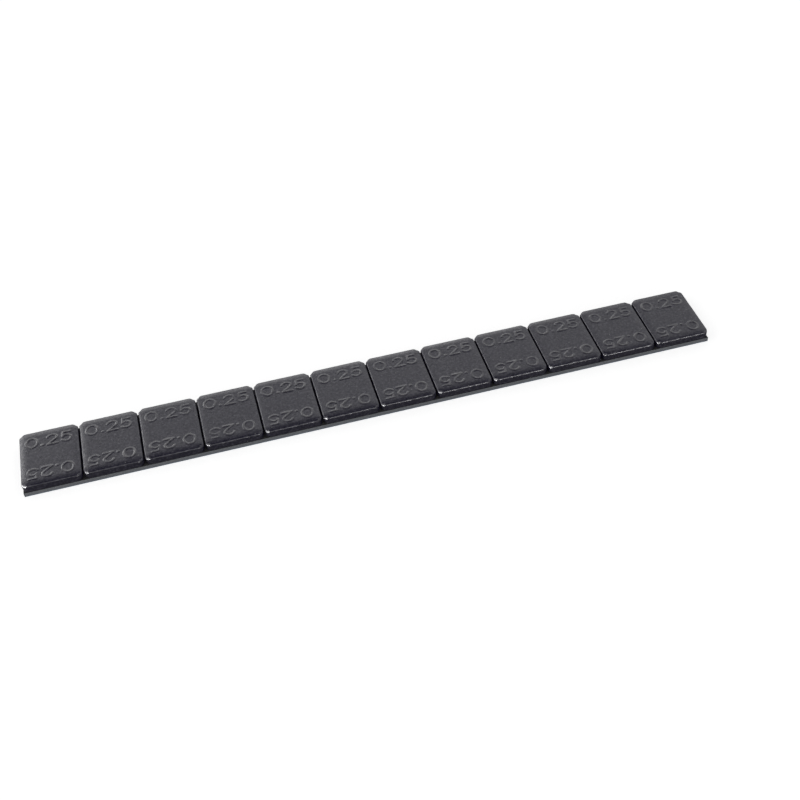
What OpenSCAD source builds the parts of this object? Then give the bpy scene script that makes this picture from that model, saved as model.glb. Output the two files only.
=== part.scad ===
// A strip of stick-on wheel balance weights. Twelve black-coated steel slugs stand in a row
// on one double-sided foam tape, whose lower adhesive is covered by a release liner.
// The strip lies face up: X runs along it, Y across it, and Z = 0 is the liner's lower face.

/* [Weights] */
// Number of weights in the strip
weight_count = 12; // [2:1:24]
// Length of one weight, along the strip
weight_l = 16.5; // [10:0.05:30]
// Width of one weight, across the strip
weight_w = 20.4; // [12:0.1:30]
// Thickness of one weight
weight_t = 2.75; // [2:0.05:6]
// Gap between neighbouring weights, where the strip is cut or bent
weight_gap = 0.35; // [0.2:0.05:2]

/* [Weight form] */
// Radius of the four upright corners of a weight, seen from above
corner_r = 1.6; // [1.2:0.1:4]
// How far in from each edge the top face starts to roll down
roll_reach = 2.2; // [1.4:0.1:4]
// Slope, in degrees, that the roll has reached where the tight edge takes over
roll_slope = 12; // [4:1:20]
// Radius of the tight edge between the roll and the wall
top_edge_r = 0.5; // [0.2:0.05:0.8]
// Radius of the edge round the underside
bottom_edge_r = 0.25; // [0.1:0.05:0.5]

/* [Tape] */
// Thickness of the foam tape with both of its adhesive films
foam_t = 1.15; // [0.4:0.05:2]
// How far the foam tape stands out past each long edge of the weights
foam_lip = 0.1; // [0:0.05:2]
// Thickness of the release liner
liner_t = 0.1; // [0.05:0.01:0.3]
// How far the release liner stands out past each long edge of the tape
liner_lip = 0.1; // [0:0.05:2]

/* [Hidden] */
arc_steps = 48;
roll_steps = 4;
crown_spare = 1;
coating_colour = [0.17, 0.17, 0.18];
foam_colour = [0.45, 0.46, 0.49];
liner_colour = [0.36, 0.41, 0.50];

pitch = weight_l + weight_gap;
strip_l = weight_count * pitch - weight_gap;
foam_w = weight_w + 2 * foam_lip;
liner_w = foam_w + 2 * liner_lip;
weight_base = liner_t + foam_t;
roll_r = top_edge_r + (roll_reach - top_edge_r) / sin(roll_slope);
edge_centre_z = weight_t - roll_r + (roll_r - top_edge_r) * cos(roll_slope);

function weight_name(i) = str("weight_", i < 10 ? "0" : "", i);
function weight_x(i) = (i - 1 - (weight_count - 1) / 2) * pitch;

// Quarter disc that rounds an edge of the section.
module edge_disc(edge_r) {
    intersection() {
        circle(r = edge_r, $fn = arc_steps);
        square(edge_r);
    }
}

// Point of the roll's arc at a slope, in a section whose edge is half_w from its middle.
function roll_point(half_w, slope) =
    [half_w - roll_reach + roll_r * sin(slope), weight_t - roll_r * (1 - cos(slope))];

// Point on the line from a to b, carried on to where x is at_x.
function run_on(a, b, at_x) = [at_x, b[1] + (b[1] - a[1]) * (at_x - b[0]) / (b[0] - a[0])];

// Slope that the roll has reached after so many of its facets.
function facet_slope(step) = roll_slope * step / roll_steps;

// Right half of the edge section, from its middle out to half_w: the wall between the bottom edge
// and the tight top edge, and the roll's lowest facet, carried on up to the middle.
module edge_section(half_w) {
    high = roll_point(half_w, facet_slope(roll_steps - 1));
    low = roll_point(half_w, roll_slope);
    polygon([[0, bottom_edge_r], run_on(low, high, 0), low, [low[0], bottom_edge_r]]);
    translate([0, bottom_edge_r])
        square([half_w, edge_centre_z - bottom_edge_r]);
    square([half_w - bottom_edge_r, edge_centre_z]);
    translate([half_w - top_edge_r, edge_centre_z])
        edge_disc(top_edge_r);
    translate([half_w - bottom_edge_r, bottom_edge_r])
        mirror([0, 1])
            edge_disc(bottom_edge_r);
}

// Crown section: the flat of the top face between the roll's upper facets, the last of them
// carried on past the edge. Its sides and its foot lie outside the weight.
module crown_section(half_w) {
    upper = [for (step = [0:roll_steps - 1]) roll_point(half_w, facet_slope(step))];
    end = run_on(upper[roll_steps - 2], upper[roll_steps - 1], half_w + crown_spare);
    right = concat(upper, [end, [end[0], -crown_spare]]);
    left = [for (i = [len(right) - 1:-1:0]) [-right[i][0], right[i][1]]];
    polygon(concat(right, left));
}

// Runs a section along Y.
module straight_run(run_l) {
    rotate([90, 0, 0])
        linear_extrude(height = run_l, center = true)
            children();
}

// A half section with its mirror image.
module both_halves() {
    for (side = [0, 1])
        mirror([side, 0])
            children();
}

// The edge section swept round each upright corner.
module corner_posts() {
    for (sx = [0, 1], sy = [0, 1])
        mirror([sx, 0, 0])
            mirror([0, sy, 0])
                translate([weight_l / 2 - corner_r, weight_w / 2 - corner_r, 0])
                    rotate_extrude(angle = 90, $fn = arc_steps)
                        edge_section(corner_r);
}

// A weight's body with its wall and its edges, before the crown shapes its top face.
module body() {
    straight_run(weight_w - 2 * corner_r)
        both_halves()
            edge_section(weight_l / 2);
    rotate([0, 0, 90])
        straight_run(weight_l - 2 * corner_r)
            both_halves()
                edge_section(weight_w / 2);
    corner_posts();
}

module weight(i) {
    color(coating_colour)
        translate([weight_x(i), 0, weight_base])
            intersection() {
                body();
                straight_run(weight_w + 2 * crown_spare)
                    crown_section(weight_l / 2);
                rotate([0, 0, 90])
                    straight_run(weight_l + 2 * crown_spare)
                        crown_section(weight_w / 2);
            }
}

module foam_tape() {
    color(foam_colour)
        translate([-strip_l / 2, -foam_w / 2, liner_t])
            cube([strip_l, foam_w, foam_t]);
}

module release_liner() {
    color(liner_colour)
        translate([-strip_l / 2, -liner_w / 2, 0])
            cube([strip_l, liner_w, liner_t]);
}

for (i = [1:weight_count])
    weight(i);
foam_tape();
release_liner();
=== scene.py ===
"""Dresses the strip of stick-on wheel balance weights: twelve coated steel slugs with raised numbers,
the foam tape that carries them and the release liner under it. Lengths are metres; MM turns
millimetres into them."""

import math

import bpy
import numpy as np
from mathutils import Matrix, Vector


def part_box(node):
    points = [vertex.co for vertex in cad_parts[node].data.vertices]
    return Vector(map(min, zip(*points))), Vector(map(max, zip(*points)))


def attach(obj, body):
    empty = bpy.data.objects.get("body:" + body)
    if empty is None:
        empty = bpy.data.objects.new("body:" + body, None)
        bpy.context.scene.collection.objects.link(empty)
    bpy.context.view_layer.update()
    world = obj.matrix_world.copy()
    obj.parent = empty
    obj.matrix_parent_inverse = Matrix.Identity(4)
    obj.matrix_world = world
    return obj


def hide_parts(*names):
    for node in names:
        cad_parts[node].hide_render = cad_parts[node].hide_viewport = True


MM = 0.001
TINY = 1e-18

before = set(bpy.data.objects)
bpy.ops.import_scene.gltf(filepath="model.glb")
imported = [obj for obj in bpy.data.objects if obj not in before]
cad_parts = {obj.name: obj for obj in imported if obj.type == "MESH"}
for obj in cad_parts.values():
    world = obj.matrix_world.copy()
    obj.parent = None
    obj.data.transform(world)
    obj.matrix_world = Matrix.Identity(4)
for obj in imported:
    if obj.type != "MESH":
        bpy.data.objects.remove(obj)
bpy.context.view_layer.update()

# Camera, in the strip's own frame, with its angles in degrees and its lens in millimetres.
CAMERA_AT = Vector((-42.21, -232.15, 234.74)) * MM
CAMERA_AZIMUTH = 12.167
CAMERA_BELOW_LEVEL = 45.412
CAMERA_ROLL = -4.073
SENSOR_W = 36.0
LENS = 51.165
CLIP_START = 0.01

# Form of a weight, as the solids have it.
CORNER_R = 1.6 * MM
ROLL_REACH = 2.2 * MM
ROLL_SLOPE = math.radians(12)
TOP_EDGE_R = 0.5 * MM
BOTTOM_EDGE_R = 0.25 * MM
ROLL_R = TOP_EDGE_R + (ROLL_REACH - TOP_EDGE_R) / math.sin(ROLL_SLOPE)

# Radius that the tight edge grows to in the middle of each corner.
CORNER_EDGE_R = 1.25 * MM

# Steps of a weight's mesh, and the turns in which the tight edge finds its slope.
FINE_STEP = 0.12 * MM
COARSE_STEP = 0.35 * MM
CORNER_STEPS = 14
ROLL_STEPS = 11
EDGE_STEPS = 9
WALL_STEPS = 4
BOTTOM_STEPS = 3
SLOPE_TURNS = 6

# Raised numbers.
MARK_TEXT = "0.25"
MARK_H = 3.5 * MM
MARK_W = 12.6 * MM
FAR_MARK_Y = 5.65 * MM
NEAR_MARK_Y = 6.25 * MM
MARK_RELIEF = 0.18 * MM
STROKE_FLAT = 0.14 * MM
STROKE_REACH = 0.43 * MM

# Wear of the raised numbers: patches that are lower and less rubbed, and flecks in the rubbed coat, whose
# lighter colour is partly wear and partly a painted highlight on the strokes. Each wear is a level and how
# far it swings round it. A whole mark has a strength in a range.
PATCH_CELL = 2.6 * MM
PATCH_WEAR = (0.72, 0.4)
FLECK_CELL = 0.7 * MM
FLECK_WEAR_AND_HIGHLIGHT = (0.65, 0.5)
MARK_STRENGTH = (0.65, 1.0)

# Unevenness of the coated faces, and dents in the wall, which run aslant down it.
TILT_MAX = 0.035 * MM
WAVE_CELL = 5.5 * MM
WAVE_H = 0.012 * MM
RIPPLE_CELL = 1.3 * MM
RIPPLE_H = 0.004 * MM
EDGE_CELL = 0.9 * MM
EDGE_DENT = 0.03 * MM
EDGE_SLANT = 7

# Tape and liner. The tape's edge bulges, with a shoulder near its top and its foot.
TAPE_STEP = 0.3 * MM
TAPE_BULGE = 0.05 * MM
TAPE_SHOULDER = 0.2
TAPE_ROUGH = 0.03 * MM
LINER_ROUGH = 0.03 * MM

# Surfaces.
COAT_IOR = 1.6
COAT_PIT = (0.0015, 0.0005, 0.0140, 1)
COAT_FLECK = (0.053, 0.049, 0.074, 1)
# Lighter coat on the raised numbers: partly rubbed coat, partly a painted highlight.
COAT_RUBBED_AND_HIGHLIT = (0.150, 0.146, 0.155, 1)
DUST = (0.22, 0.22, 0.22, 1)
FOAM_DARK = (0.11, 0.116, 0.132, 1)
FOAM_LIGHT = (0.21, 0.222, 0.244, 1)
FOAM_ROUGHNESS = 0.85
# Painted shade: the foam's upward faces, which lie in shade in the notches between the weights.
FOAM_TOP_PAINTED_SHADE = (0.02, 0.02, 0.022, 1)
LINER_DARK = (0.24, 0.30, 0.37, 1)
LINER_LIGHT = (0.34, 0.40, 0.48, 1)

# Floor: it lies a little under the strip, so that the two faces don't coincide, and rays that start that
# close to it pass through. Its shade is for rays that aren't the camera's and for the camera's, and its
# glow is for mirrored rays and for the camera's.
FLOOR_HALF = 3.0
FLOOR_DROP = 0.02 * MM
FLOOR_CLOSE = 5 * FLOOR_DROP
FLOOR_SHADE = (0.35, 0.62)
FLOOR_GLOW = (0.05, 0.72)

# World: white up to a height on the unit sphere, then darker, and how strongly it is seen and lights.
WHITE_UP_TO = 0.75
DARK_FROM = 0.87
DARK_SKY = (0.12, 0.12, 0.12, 1)
WORLD_SEEN = 1.0
WORLD_LIGHT = 0.62

# Lamps: name, azimuth, elevation, distance, (width, height), level, and whether they show only in gloss.
# The first two are the soft light. The others show only in gloss, and the two strong ones stand low,
# where the rounded corners and the near edges mirror them.
LAMPS = (
    ("left_softbox", -95, 35, 0.9, (0.40, 0.40), 1.7, False),
    ("front_softbox", 170, 18, 0.9, (0.70, 0.25), 1.2, False),
    ("left_shine", -105, 3.3, 0.8, (0.60, 0.075), 95.0, True),
    ("far_left_shine", -45, 25, 0.45, (0.15, 0.10), 5.0, True),
    ("back_shine", -5, 25, 0.9, (0.90, 0.22), 1.7, True),
    ("right_shine", 160, 3.3, 0.9, (0.40, 0.085), 36.0, True),
)

# Seeds: the first weight's, from which the others count on, the tape's and the liner's.
WEIGHT_SEED = 400
TAPE_SEED = 5
LINER_SEED = 6


def make_camera():
    """A camera at the photograph's place, looking from the near side across the strip."""
    azimuth, below, roll = (math.radians(a) for a in (CAMERA_AZIMUTH, CAMERA_BELOW_LEVEL, CAMERA_ROLL))
    reach = math.cos(below)
    forward = Vector((math.sin(azimuth) * reach, math.cos(azimuth) * reach, -math.sin(below)))
    level = Vector((math.cos(azimuth), -math.sin(azimuth), 0))
    up = level.cross(forward)
    right = math.cos(roll) * level + math.sin(roll) * up
    top = -math.sin(roll) * level + math.cos(roll) * up
    data = bpy.data.cameras.new("camera")
    data.sensor_width = SENSOR_W
    data.lens = LENS
    data.clip_start = CLIP_START
    camera = bpy.data.objects.new("camera", data)
    bpy.context.scene.collection.objects.link(camera)
    axes = Matrix((right, top, -forward)).transposed().to_4x4()
    camera.matrix_world = Matrix.Translation(CAMERA_AT) @ axes
    bpy.context.scene.camera = camera


def value_noise(x, y, cell, rng, reach):
    """Smooth noise of about -1 to 1 over points x, y, with bumps about one cell wide."""
    size = int(reach / cell) + 4
    lattice = rng.uniform(-1, 1, (size, size))
    u = (x / cell + size / 2) % (size - 1)
    v = (y / cell + size / 2) % (size - 1)
    i, j = u.astype(int), v.astype(int)
    fu, fv = u - i, v - j
    fu, fv = fu * fu * (3 - 2 * fu), fv * fv * (3 - 2 * fv)
    low = lattice[i, j] * (1 - fu) + lattice[i + 1, j] * fu
    high = lattice[i, j + 1] * (1 - fu) + lattice[i + 1, j + 1] * fu
    return low * (1 - fv) + high * fv


def arc(cx, cy, rx, ry, start, stop, steps):
    """Points along part of an ellipse, angles in degrees."""
    angles = np.radians(np.linspace(start, stop, steps + 1))
    return np.stack([cx + rx * np.cos(angles), cy + ry * np.sin(angles)], 1)


def glyph(character):
    """(strokes, width) of a point or of the figure 0, 2 or 5, one unit high and standing on y = 0."""
    if character == "0":
        return [arc(0.45, 0.5, 0.45, 0.5, 0, 360, 40)], 0.9
    if character == ".":
        return [arc(0.08, 0.08, 0.03, 0.03, 0, 360, 8)], 0.16
    if character == "2":
        top = arc(0.4, 0.7, 0.38, 0.3, 165, -35, 20)
        return [np.concatenate([top, [(0.02, 0.0), (0.8, 0.0)]])], 0.82
    bowl = arc(0.38, 0.32, 0.4, 0.32, 118, -150, 24)
    return [np.concatenate([[(0.72, 1.0), (0.16, 1.0), (0.1, 0.5)], bowl])], 0.8


def mark_strokes():
    """The number's strokes as one list of polylines, centred on the origin, in metres."""
    glyphs = [glyph(c) for c in MARK_TEXT]
    widths = [w * MARK_H for _, w in glyphs]
    space = (MARK_W - sum(widths)) / (len(glyphs) - 1)
    strokes, x = [], -MARK_W / 2
    for (lines, _), width in zip(glyphs, widths):
        strokes += [line * MARK_H + (x, -MARK_H / 2) for line in lines]
        x += width + space
    return strokes


def distance_to(strokes, x, y):
    """Distance from each point x, y to the nearest of the strokes."""
    best = np.full(x.shape, np.inf)
    for line in strokes:
        for (ax, ay), (bx, by) in zip(line[:-1], line[1:]):
            dx, dy = bx - ax, by - ay
            t = np.clip(((x - ax) * dx + (y - ay) * dy) / max(dx * dx + dy * dy, TINY), 0, 1)
            best = np.minimum(best, np.hypot(x - ax - t * dx, y - ay - t * dy))
    return best


def stroke_profile(distance):
    """1 on a stroke's middle, falling smoothly to 0 at its reach."""
    t = np.clip((distance - STROKE_FLAT) / (STROKE_REACH - STROKE_FLAT), 0, 1)
    return 0.5 + 0.5 * np.cos(math.pi * t)


def past_roll_start(x, y, half_x, half_y):
    """How far each point of a weight lies outside the rounded line where its top face starts to roll
    down."""
    past_x = np.maximum(np.abs(x) - (half_x - ROLL_REACH), 0)
    past_y = np.maximum(np.abs(y) - (half_y - ROLL_REACH), 0)
    return np.hypot(past_x, past_y)


def roll_drop(past):
    """How far the top face has come down where it lies so far outside the roll's start."""
    return ROLL_R - np.sqrt(ROLL_R ** 2 - past ** 2)


def stations(half, bands):
    """Places from -half to half: fine inside the bands, coarse between them."""
    inner = [e for band in bands for e in band if -half < e < half]
    edges = sorted({-half, half, *inner})
    places = [-half]
    for start, stop in zip(edges[:-1], edges[1:]):
        middle = (start + stop) / 2
        fine = any(low < middle < high for low, high in bands)
        steps = max(1, math.ceil((stop - start) / (FINE_STEP if fine else COARSE_STEP)))
        places += list(np.linspace(start, stop, steps + 1)[1:])
    return np.array(places)


def shares(steps):
    """Even steps from 0, which is left out, to 1."""
    return np.linspace(0, 1, steps + 1)[1:]


def border_of(grid):
    """The vertices round a grid's border, anticlockwise from its +X side, and the direction in radians in
    which the weight's edge lies from each. A corner's vertex comes once for each point of its arc."""
    sides = (
        (grid[1:-1, -1], 0, grid[-1, -1]),
        (grid[-1, -2:0:-1], 90, grid[-1, 0]),
        (grid[-2:0:-1, 0], 180, grid[0, 0]),
        (grid[0, 1:-1], 270, grid[0, -1]),
    )
    border, directions = [], []
    for side, angle, corner in sides:
        border += [*side] + [corner] * (CORNER_STEPS + 1)
        directions += [angle] * len(side) + [*np.linspace(angle, angle + 90, CORNER_STEPS + 1)]
    return np.array(border), np.radians(directions)


def faces_of(grid, loops):
    """The faces of a grid, of the rings between its border and the loops round it, and of the underside.
    Where a ring's inner side has no length, its face is a triangle."""
    faces = np.stack([grid[:-1, :-1], grid[:-1, 1:], grid[1:, 1:], grid[1:, :-1]], -1).reshape(-1, 4).tolist()
    for inner, outer in zip(loops[:-1], loops[1:]):
        for k in range(len(inner)):
            m = (k + 1) % len(inner)
            corners = (inner[k], outer[k], outer[m], inner[m])
            faces.append(corners[:3] if inner[k] == inner[m] else corners)
    faces.append(loops[-1][::-1])
    return [tuple(int(v) for v in face) for face in faces]


def weight_mesh(name, low, high, rng):
    """A weight as one closed mesh: a grid over its flat face, with loops round it for the roll, the
    tight edge, the wall and the bottom edge."""
    half_x, half_y, thickness = (high.x - low.x) / 2, (high.y - low.y) / 2, high.z - low.z
    centre = (low + high) / 2
    post_x, post_y = half_x - CORNER_R, half_y - CORNER_R
    mark_half = MARK_H / 2 + STROKE_REACH
    columns = stations(post_x, [(-post_x, post_x)])
    rows = stations(post_y, [(-post_y, -NEAR_MARK_Y + mark_half), (FAR_MARK_Y - mark_half, post_y)])
    grid_x, grid_y = np.meshgrid(columns, rows)
    grid = np.arange(grid_x.size).reshape(grid_x.shape)
    border, directions = border_of(grid)
    out_x, out_y = np.cos(directions), np.sin(directions)
    base_x, base_y = grid_x.ravel()[border], grid_y.ravel()[border]
    xs, ys, zs, loops = [grid_x.ravel()], [grid_y.ravel()], [], [border]

    def face_z():
        """Height of the top face over the vertices that were added last."""
        return thickness - roll_drop(past_roll_start(xs[-1], ys[-1], half_x, half_y))

    def add_loop(inset, z=None):
        """Adds a loop so far inside the weight's outline, at height z or on the top face."""
        loops.append(np.arange(len(border)) + sum(len(part) for part in xs))
        xs.append(base_x + out_x * (CORNER_R - inset))
        ys.append(base_y + out_y * (CORNER_R - inset))
        zs.append(face_z() if z is None else z)

    zs.append(face_z())

    # The tight edge takes over from the roll at the slope that the roll has there.
    edge_r = TOP_EDGE_R + (CORNER_EDGE_R - TOP_EDGE_R) * np.sin(2 * directions) ** 2
    slope = np.full(len(border), ROLL_SLOPE)
    for _ in range(SLOPE_TURNS):
        reach = CORNER_R - edge_r * (1 - np.sin(slope))
        past = past_roll_start(base_x + out_x * reach, base_y + out_y * reach, half_x, half_y)
        slope = np.arcsin(past / ROLL_R)
    edge_inset = edge_r * (1 - np.sin(slope))
    edge_z = thickness - roll_drop(past) - edge_r * np.cos(slope)

    for share in shares(ROLL_STEPS):
        add_loop(CORNER_R + (edge_inset - CORNER_R) * share)
    for share in shares(EDGE_STEPS):
        turn = slope + (math.pi / 2 - slope) * share
        add_loop(edge_r * (1 - np.sin(turn)), edge_z + edge_r * np.cos(turn))
    for share in shares(WALL_STEPS):
        add_loop(0, edge_z + (BOTTOM_EDGE_R - edge_z) * share)
    for turn in np.linspace(0, math.pi / 2, BOTTOM_STEPS + 1)[1:]:
        z = np.full(len(border), BOTTOM_EDGE_R * (1 - math.sin(turn)))
        add_loop(BOTTOM_EDGE_R * (1 - math.cos(turn)), z)

    x, y, z = np.concatenate(xs), np.concatenate(ys), np.concatenate(zs)
    relief, rub_and_highlight = face_relief(x, y, z, thickness, half_x, half_y, rng)
    dents = np.clip(value_noise(x + EDGE_SLANT * z, y, EDGE_CELL, rng, 4 * half_y), 0, 1)
    keep = 1 - EDGE_DENT / half_x * dents
    vertices = np.stack([x * keep + centre.x, y * keep + centre.y, z + relief + low.z], 1)
    vertices[:, 2] = np.minimum(vertices[:, 2], high.z)
    mesh = bpy.data.meshes.new(name)
    mesh.from_pydata(vertices.tolist(), [], faces_of(grid, loops))
    mesh.polygons.foreach_set("use_smooth", [True] * (len(mesh.polygons) - 1) + [False])
    # The raised numbers' lightening: partly rubbed coat, partly a painted highlight.
    mesh.attributes.new("rub_and_highlight", "FLOAT", "POINT").data.foreach_set("value", rub_and_highlight.astype(np.float32))
    mesh.update()
    return mesh


def face_relief(x, y, z, thickness, half_x, half_y, rng):
    """How far each point of a weight's upper face lies above its plain form, and how much lighter its coat is
    there, partly rubbed and partly a painted highlight: the two raised numbers, one upright at the far edge
    and one turned round at the near edge, and the face's unevenness."""
    upper = np.clip(z / thickness, 0, 1)
    reach = 4 * max(half_x, half_y)
    tilt = rng.uniform(-TILT_MAX, TILT_MAX, 2)
    rise = tilt[0] * x / half_x + tilt[1] * y / half_y
    rise += WAVE_H * value_noise(x, y, WAVE_CELL, rng, reach)
    rise += RIPPLE_H * value_noise(x, y, RIPPLE_CELL, rng, reach)
    strokes = mark_strokes()
    rub_and_highlight = np.zeros(len(x))
    for turn, mark_y in ((1, FAR_MARK_Y), (-1, NEAR_MARK_Y)):
        strength = rng.uniform(*MARK_STRENGTH)
        patchy = PATCH_WEAR[0] + PATCH_WEAR[1] * value_noise(x, y, PATCH_CELL, rng, reach)
        flecked = FLECK_WEAR_AND_HIGHLIGHT[0] + FLECK_WEAR_AND_HIGHLIGHT[1] * value_noise(x, y, FLECK_CELL, rng, reach)
        stroke = strength * stroke_profile(distance_to(strokes, turn * x, turn * y - mark_y))
        rise += MARK_RELIEF * stroke * np.clip(patchy, 0, 1)
        # Lightening of the strokes: partly wear, partly a painted highlight.
        rub_and_highlight += stroke * np.clip(patchy, 0, 1) * np.clip(flecked, 0, 1)
    return (rise - MARK_RELIEF - TILT_MAX / 2) * upper, rub_and_highlight


def ribbon_mesh(name, low, high, outline, rough, rng):
    """A long straight strip whose section is given as (across, up) shares of its half width and its
    thickness, with its long edges a little uneven."""
    length, half_y, thickness = high.x - low.x, (high.y - low.y) / 2, high.z - low.z
    steps = round(length / TAPE_STEP)
    places = np.linspace(low.x, high.x, steps + 1)
    vertices, count = [], len(outline)
    shifts = [rng.uniform(-1, 1, steps + 1) for _ in range(count)]
    for i, x in enumerate(places):
        for k, (across, up) in enumerate(outline):
            shift = -abs(shifts[k][i]) * rough * math.copysign(1, across)
            vertices.append((x, across * half_y + shift, low.z + up * thickness))
    faces = []
    for i in range(steps):
        for k in range(count):
            m = (k + 1) % count
            faces.append((i * count + k, i * count + m, (i + 1) * count + m, (i + 1) * count + k))
    faces.append(tuple(range(count - 1, -1, -1)))
    faces.append(tuple(range(steps * count, (steps + 1) * count)))
    mesh = bpy.data.meshes.new(name)
    mesh.from_pydata(vertices, [], faces)
    mesh.update()
    return mesh


def node_tools(tree):
    """A helper that adds a node with its inputs set or linked, and the tree's links."""

    def add(kind, inputs=(), **settings):
        node = tree.nodes.new(kind)
        for key, value in settings.items():
            setattr(node, key, value)
        for key, value in dict(inputs).items():
            if isinstance(value, bpy.types.NodeSocket):
                tree.links.new(value, node.inputs[key])
            else:
                node.inputs[key].default_value = value
        return node

    return add, tree.links


def new_material(name):
    """A material with its Principled shader, and the tools that add and link nodes."""
    material = bpy.data.materials.new(name)
    material.use_nodes = True
    return material, material.node_tree.nodes["Principled BSDF"], *node_tools(material.node_tree)


def blend(add, factor, low, high):
    """The colour that runs from low to high as the factor runs from 0 to 1."""
    return add("ShaderNodeMix", {"Factor": factor, "A": low, "B": high}, data_type="RGBA").outputs["Result"]


def coated_steel():
    """Satin black coat with a fine orange-peel texture and mottle, lighter on the raised numbers, partly
    rubbed and partly a painted highlight, with a few specks of dust."""
    material, shader, add, links = new_material("coated_steel")
    place = add("ShaderNodeTexCoord").outputs["Object"]
    mottle = add("ShaderNodeTexNoise", {"Vector": place, "Scale": 1350.0, "Detail": 4.0, "Roughness": 0.65})
    depth = add("ShaderNodeMapRange", {"Value": mottle.outputs["Fac"], "From Min": 0.34, "From Max": 0.7})
    flecks = add("ShaderNodeMath", {0: depth.outputs["Result"], 1: 2.6}, operation="POWER")
    rub_and_highlight = add("ShaderNodeAttribute", attribute_name="rub_and_highlight")
    dust_cells = add("ShaderNodeTexVoronoi", {"Vector": place, "Scale": 800.0, "Randomness": 1.0})
    dust_size = add("ShaderNodeMapRange", {"Value": dust_cells.outputs["Distance"], "From Min": 0.08,
                                           "From Max": 0.13, "To Min": 1.0, "To Max": 0.0})
    dust_pick = add("ShaderNodeSeparateColor", {"Color": dust_cells.outputs["Color"]})
    dust_few = add("ShaderNodeMath", {0: dust_pick.outputs["Red"], 1: 0.88}, operation="GREATER_THAN")
    dust = add("ShaderNodeMath", {0: dust_size.outputs["Result"], 1: dust_few.outputs["Value"]},
               operation="MULTIPLY")
    tone = blend(add, flecks.outputs["Value"], COAT_PIT, COAT_FLECK)
    # The raised numbers are painted lighter: partly rubbed coat, partly a painted highlight.
    rubbed_and_highlit = blend(add, rub_and_highlight.outputs["Fac"], tone, COAT_RUBBED_AND_HIGHLIT)
    links.new(blend(add, dust.outputs["Value"], rubbed_and_highlit, DUST), shader.inputs["Base Color"])
    patches = add("ShaderNodeTexNoise", {"Vector": place, "Scale": 500.0, "Detail": 3.0})
    rough = add("ShaderNodeMapRange", {"Value": patches.outputs["Fac"], "From Min": 0.3, "From Max": 0.7,
                                       "To Min": 0.26, "To Max": 0.36})
    links.new(rough.outputs["Result"], shader.inputs["Roughness"])
    peel = add("ShaderNodeTexNoise", {"Vector": place, "Scale": 1500.0, "Detail": 3.0, "Roughness": 0.55})
    grain = add("ShaderNodeTexNoise", {"Vector": place, "Scale": 5200.0, "Detail": 2.0})
    coarse = add("ShaderNodeBump", {"Height": peel.outputs["Fac"], "Strength": 1.0, "Distance": 0.03 * MM})
    fine = add("ShaderNodeBump", {"Height": grain.outputs["Fac"], "Strength": 1.0, "Distance": 0.008 * MM,
                                  "Normal": coarse.outputs["Normal"]})
    links.new(fine.outputs["Normal"], shader.inputs["Normal"])
    shader.inputs["IOR"].default_value = COAT_IOR
    pits = add("ShaderNodeMapRange", {"Value": depth.outputs["Result"], "To Min": 0.42, "To Max": 0.58})
    links.new(pits.outputs["Result"], shader.inputs["Specular IOR Level"])
    return material


def foam():
    """Grey closed-cell foam with cut cells along its edges, and its upper face painted dark as painted shade.
    """
    material, shader, add, links = new_material("foam")
    places = add("ShaderNodeTexCoord").outputs
    cells = add("ShaderNodeTexVoronoi", {"Vector": places["Object"], "Scale": 6500.0})
    facing = add("ShaderNodeSeparateXYZ", {"Vector": places["Normal"]})
    upper = add("ShaderNodeMath", {0: facing.outputs["Z"], 1: 0.7}, operation="GREATER_THAN")
    tone = blend(add, cells.outputs["Distance"], FOAM_DARK, FOAM_LIGHT)
    # Upward faces are painted dark: painted shade where the notches between the weights lie in shade.
    links.new(blend(add, upper.outputs["Value"], tone, FOAM_TOP_PAINTED_SHADE), shader.inputs["Base Color"])
    shader.inputs["Roughness"].default_value = FOAM_ROUGHNESS
    bump = add("ShaderNodeBump", {"Height": cells.outputs["Distance"], "Strength": 1.0,
                                  "Distance": 0.03 * MM})
    links.new(bump.outputs["Normal"], shader.inputs["Normal"])
    return material


def liner_film():
    """Smooth blue-grey release film with faint streaks along its length."""
    material, shader, add, links = new_material("liner_film")
    place = add("ShaderNodeTexCoord").outputs["Object"]
    stretch = add("ShaderNodeMapping", {"Vector": place, "Scale": (60.0, 2400.0, 2400.0)})
    streaks = add("ShaderNodeTexNoise", {"Vector": stretch.outputs["Vector"], "Scale": 1.0, "Detail": 2.0})
    links.new(blend(add, streaks.outputs["Fac"], LINER_DARK, LINER_LIGHT), shader.inputs["Base Color"])
    rough = add("ShaderNodeMapRange", {"Value": streaks.outputs["Fac"], "To Min": 0.28, "To Max": 0.4})
    links.new(rough.outputs["Result"], shader.inputs["Roughness"])
    return material


def background_rays(add):
    """1 for rays that should see the plain white surroundings: from the camera, mirrored or passed on."""
    path = add("ShaderNodeLightPath")
    first = add("ShaderNodeMath", {0: path.outputs["Is Camera Ray"], 1: path.outputs["Is Glossy Ray"]},
                operation="MAXIMUM")
    both = add("ShaderNodeMath", {0: first.outputs["Value"], 1: path.outputs["Is Transmission Ray"]},
               operation="MAXIMUM")
    return both.outputs["Value"]


def mixed(add, factor, first, second):
    """The shader that runs from the first to the second as the factor runs from 0 to 1."""
    return add("ShaderNodeMixShader", {"Fac": factor, 1: first, 2: second}).outputs["Shader"]


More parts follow.
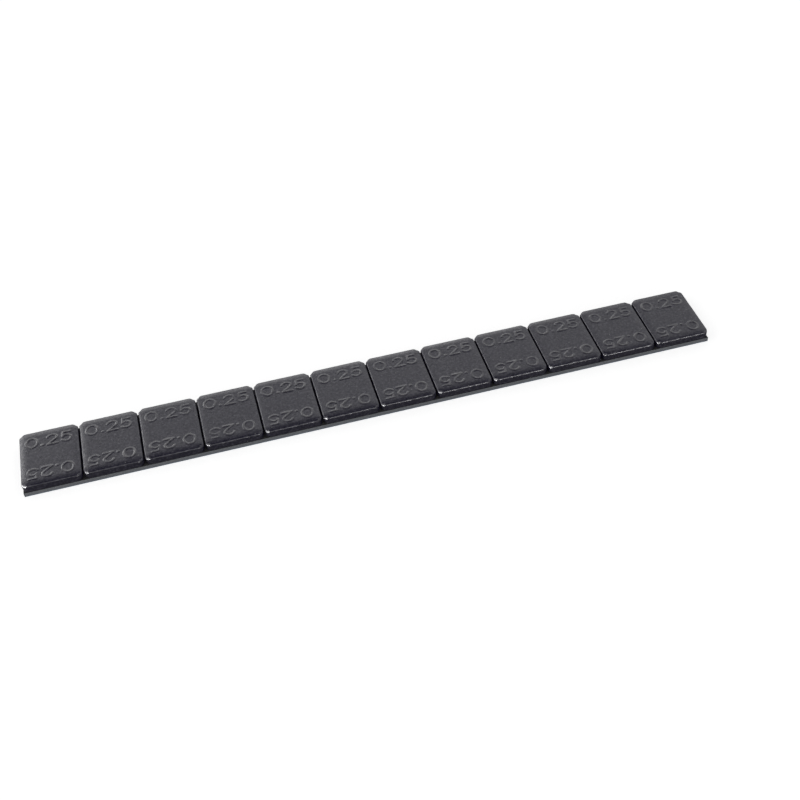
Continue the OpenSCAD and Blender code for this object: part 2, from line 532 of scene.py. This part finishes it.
def make_floor():
    """A white floor that keeps the strip's shadow. It is clear from below, and close under the liner, so
    that the strip's underside shows and is lit."""
    mesh = bpy.data.meshes.new("floor")
    signs = ((-1, -1), (1, -1), (1, 1), (-1, 1))
    mesh.from_pydata([(x * FLOOR_HALF, y * FLOOR_HALF, -FLOOR_DROP) for x, y in signs], [], [(0, 1, 2, 3)])
    floor = bpy.data.objects.new("floor", mesh)
    bpy.context.scene.collection.objects.link(floor)
    material, shader, add, links = new_material("floor")
    path = add("ShaderNodeLightPath").outputs
    shade = add("ShaderNodeMapRange", {"Value": path["Is Camera Ray"], "To Min": FLOOR_SHADE[0],
                                       "To Max": FLOOR_SHADE[1]})
    paint = add("ShaderNodeBsdfDiffuse", {"Color": shade.outputs["Result"]})
    level = add("ShaderNodeMapRange", {"Value": path["Is Camera Ray"], "To Min": FLOOR_GLOW[0],
                                       "To Max": FLOOR_GLOW[1]})
    glow = add("ShaderNodeEmission", {"Strength": level.outputs["Result"]})
    none = add("ShaderNodeEmission", {"Strength": 0.0})
    shine = mixed(add, background_rays(add), none.outputs["Emission"], glow.outputs["Emission"])
    both = add("ShaderNodeAddShader", {0: paint.outputs["BSDF"], 1: shine})
    close = add("ShaderNodeMath", {0: path["Ray Length"], 1: FLOOR_CLOSE}, operation="LESS_THAN")
    below = add("ShaderNodeMath", {0: add("ShaderNodeNewGeometry").outputs["Backfacing"],
                                   1: close.outputs["Value"]}, operation="MAXIMUM")
    clear = add("ShaderNodeBsdfTransparent")
    surface = mixed(add, below.outputs["Value"], both.outputs["Shader"], clear.outputs["BSDF"])
    output = next(n for n in material.node_tree.nodes if n.type == "OUTPUT_MATERIAL")
    links.new(surface, output.inputs["Surface"])
    material.node_tree.nodes.remove(shader)
    mesh.materials.append(material)


def make_world():
    """White surroundings, dark straight above, that light the strip at a plain level."""
    world = bpy.data.worlds.new("world")
    world.use_nodes = True
    bpy.context.scene.world = world
    nodes = world.node_tree.nodes
    add, links = node_tools(world.node_tree)
    split = add("ShaderNodeSeparateXYZ", {"Vector": add("ShaderNodeTexCoord").outputs["Generated"]})
    ramp = add("ShaderNodeValToRGB", {"Fac": split.outputs["Z"]})
    stops = ramp.color_ramp.elements
    stops[0].position, stops[0].color = WHITE_UP_TO, (1, 1, 1, 1)
    stops[1].position, stops[1].color = DARK_FROM, DARK_SKY
    colour = ramp.outputs["Color"]
    light = add("ShaderNodeBackground", {"Color": colour, "Strength": WORLD_LIGHT})
    seen = add("ShaderNodeBackground", {"Color": colour, "Strength": WORLD_SEEN})
    surface = mixed(add, background_rays(add), light.outputs["Background"], seen.outputs["Background"])
    output = next(n for n in nodes if n.type == "OUTPUT_WORLD")
    links.new(surface, output.inputs["Surface"])
    nodes.remove(nodes["Background"])


def add_lamp(name, azimuth, elevation, distance, size, level, gloss_only):
    """A lamp aimed at the strip, of (width, height) size. Azimuth 0 is straight behind the strip (+Y),
    90 is +X. Its level is how bright it looks beside the white surroundings."""
    data = bpy.data.lights.new(name, "AREA")
    data.shape = "RECTANGLE"
    data.size, data.size_y = size
    data.energy = level * math.pi * size[0] * size[1]
    lamp = bpy.data.objects.new(name, data)
    bpy.context.scene.collection.objects.link(lamp)
    a, e = math.radians(azimuth), math.radians(elevation)
    place = distance * Vector((math.sin(a) * math.cos(e), math.cos(a) * math.cos(e), math.sin(e)))
    lamp.matrix_world = Matrix.Translation(place) @ place.to_track_quat("Z", "Y").to_matrix().to_4x4()
    lamp.visible_diffuse = not gloss_only


def add_piece(name, mesh, node, material):
    """Puts a mesh in the scene in the place of the CAD node that it stands for."""
    piece = bpy.data.objects.new(name, mesh)
    bpy.context.scene.collection.objects.link(piece)
    mesh.materials.append(material)
    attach(piece, "root")
    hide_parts(node)


def make_weights():
    """The twelve weights, each with its own wear and unevenness."""
    material = coated_steel()
    names = sorted(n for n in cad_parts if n.startswith("weight_"))
    for index, node in enumerate(names):
        low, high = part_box(node)
        rng = np.random.default_rng(WEIGHT_SEED + index)
        mesh = weight_mesh("coated_" + node, low, high, rng)
        add_piece("coated_" + node, mesh, node, material)


def make_tape():
    """The foam tape, with long edges that bulge a little."""
    low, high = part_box("foam_tape")
    edge = 1 - TAPE_BULGE / ((high.y - low.y) / 2)
    shoulder = 1 - (1 - edge) * TAPE_SHOULDER
    outline = [(edge, 0), (shoulder, TAPE_SHOULDER), (1, 0.5), (shoulder, 1 - TAPE_SHOULDER), (edge, 1)]
    outline += [(-a, u) for a, u in reversed(outline)]
    mesh = ribbon_mesh("tape", low, high, outline, TAPE_ROUGH, np.random.default_rng(TAPE_SEED))
    add_piece("tape", mesh, "foam_tape", foam())


def make_liner():
    """The release liner, a flat film."""
    low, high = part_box("release_liner")
    outline = [(1, 0), (1, 1), (-1, 1), (-1, 0)]
    mesh = ribbon_mesh("liner", low, high, outline, LINER_ROUGH, np.random.default_rng(LINER_SEED))
    add_piece("liner", mesh, "release_liner", liner_film())


bpy.context.scene.view_settings.view_transform = "Standard"
make_camera()
make_weights()
make_tape()
make_liner()
make_floor()
make_world()
for lamp in LAMPS:
    add_lamp(*lamp)
